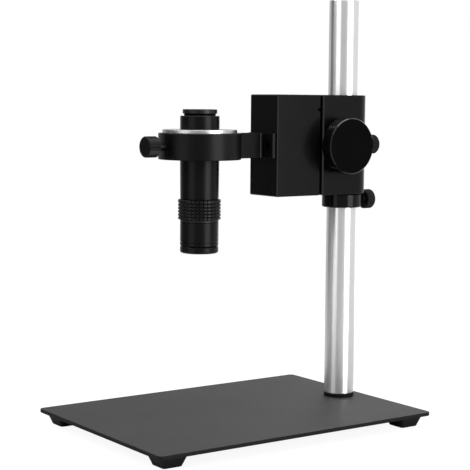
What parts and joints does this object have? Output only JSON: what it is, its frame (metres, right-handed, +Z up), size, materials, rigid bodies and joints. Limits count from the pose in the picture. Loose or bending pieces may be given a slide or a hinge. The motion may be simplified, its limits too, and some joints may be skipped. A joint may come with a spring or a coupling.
{
  "type": "video microscope",
  "caption": "Bench video microscope: vertical zoom lens in a ring arm on a rack focusing block, clamped to an upright post above a flat base plate.",
  "frame": {"origin": "on the bench, under the middle of the instrument's overall box", "axes": "+Z up the post, +Y from the lens towards the post, +X across the base plate to the right-hand focus knob"},
  "size_m": [0.1866, 0.2744, 0.3473],
  "materials": {
    "satin_black_paint": "satin black paint",
    "black_anodised": "black anodised, satin",
    "knob_black": "black anodised, knurled",
    "black_rubber": "moulded, matt",
    "polished_metal": "ground and polished",
    "silver_aluminium": "turned, bright",
    "ground_steel": "ground",
    "brass": "machined",
    "blackened_steel": "black oxide",
    "black_plastic": "moulded",
    "coated_glass": "coated"
  },
  "bodies": {
    "stand": {"base_plate": "satin_black_paint", "foot_front_left": "black_rubber", "foot_front_right": "black_rubber", "foot_rear_left": "black_rubber", "foot_rear_right": "black_rubber", "post_spacer": "black_rubber", "post": "polished_metal", "post_bolt": "blackened_steel", "post_bolt_washer": "blackened_steel"},
    "collar": {"stop_collar": "black_anodised"},
    "collar_screw": {"collar_thumbscrew": "blackened_steel"},
    "head": {"clamp_block": "black_anodised", "shaft_bush_left": "brass", "shaft_bush_right": "brass"},
    "clamp_screw": {"clamp_thumbscrew": "blackened_steel"},
    "carriage": {"carriage_block": "black_anodised", "slide_bar": "ground_steel", "focus_rack": "brass", "slide_screw_upper": "blackened_steel", "slide_screw_lower": "blackened_steel", "slide_grub": "blackened_steel", "ring_arm": "black_anodised", "arm_screw_left": "blackened_steel", "arm_screw_right": "blackened_steel"},
    "focus_drive": {"pinion_shaft": "ground_steel", "focus_knob_left": "knob_black", "focus_knob_right": "knob_black", "knob_grub_left": "blackened_steel", "knob_grub_right": "blackened_steel"},
    "ring_screw": {"ring_thumbscrew": "blackened_steel"},
    "lens": {"adapter_ring": "silver_aluminium", "adapter_grub_rear": "blackened_steel", "adapter_grub_left": "blackened_steel", "adapter_grub_right": "blackened_steel", "lens_tube": "black_anodised", "dust_cap": "black_plastic", "lower_barrel": "black_anodised", "front_ring": "black_anodised", "front_lens": "coated_glass", "rear_lens": "coated_glass", "rear_retainer": "black_anodised"},
    "zoom": {"zoom_ring": "black_anodised"},
    "zoom_carrier": {"zoom_cell": "brass", "zoom_lens": "coated_glass", "cam_pin": "brass"}
  },
  "joints": [
    {"name": "collar_height", "type": "slide", "parent": "stand", "child": "collar", "axis": [0, 0, 1], "range_m": [-0.095, 0.075]},
    {"name": "collar_screw_turn", "type": "hinge", "parent": "collar", "child": "collar_screw", "pos_m": [0, 0.1022, 0.1801], "axis": [0, 1, 0], "range_deg": [0, 360]},
    {"name": "head_swing", "type": "hinge", "parent": "collar", "child": "head", "pos_m": [0, 0.1022, 0.1862], "axis": [0, 0, 1], "range_deg": [-100, 100]},
    {"name": "clamp_screw_turn", "type": "hinge", "parent": "head", "child": "clamp_screw", "pos_m": [0, 0.1022, 0.2269], "axis": [0, 1, 0], "range_deg": [0, 360]},
    {"name": "focus_travel", "type": "slide", "parent": "head", "child": "carriage", "axis": [0, 0, 1], "range_m": [-0.025, 0.025]},
    {"name": "focus_turn", "type": "hinge", "parent": "head", "child": "focus_drive", "pos_m": [0, 0.0826, 0.2269], "axis": [1, 0, 0], "range_deg": [-300, 300]},
    {"name": "ring_screw_turn", "type": "hinge", "parent": "carriage", "child": "ring_screw", "pos_m": [0, -0.0427, 0.2273], "axis": [0, -1, 0], "range_deg": [0, 360]},
    {"name": "lens_turn", "type": "hinge", "parent": "carriage", "child": "lens", "pos_m": [0, -0.0427, 0.2273], "axis": [0, 0, 1], "continuous": true},
    {"name": "zoom_turn", "type": "hinge", "parent": "lens", "child": "zoom", "pos_m": [0, -0.0427, 0.1768], "axis": [0, 0, 1], "range_deg": [-75, 75]},
    {"name": "zoom_travel", "type": "slide", "parent": "lens", "child": "zoom_carrier", "axis": [0, 0, 1], "range_m": [-0.004, 0.004]}
  ],
  "couplings": [
    {"joint": "focus_turn", "follows": "focus_travel", "rad_per_m": -208.33},
    {"joint": "zoom_travel", "follows": "zoom_turn", "m_per_rad": 0.0030557}
  ]
}
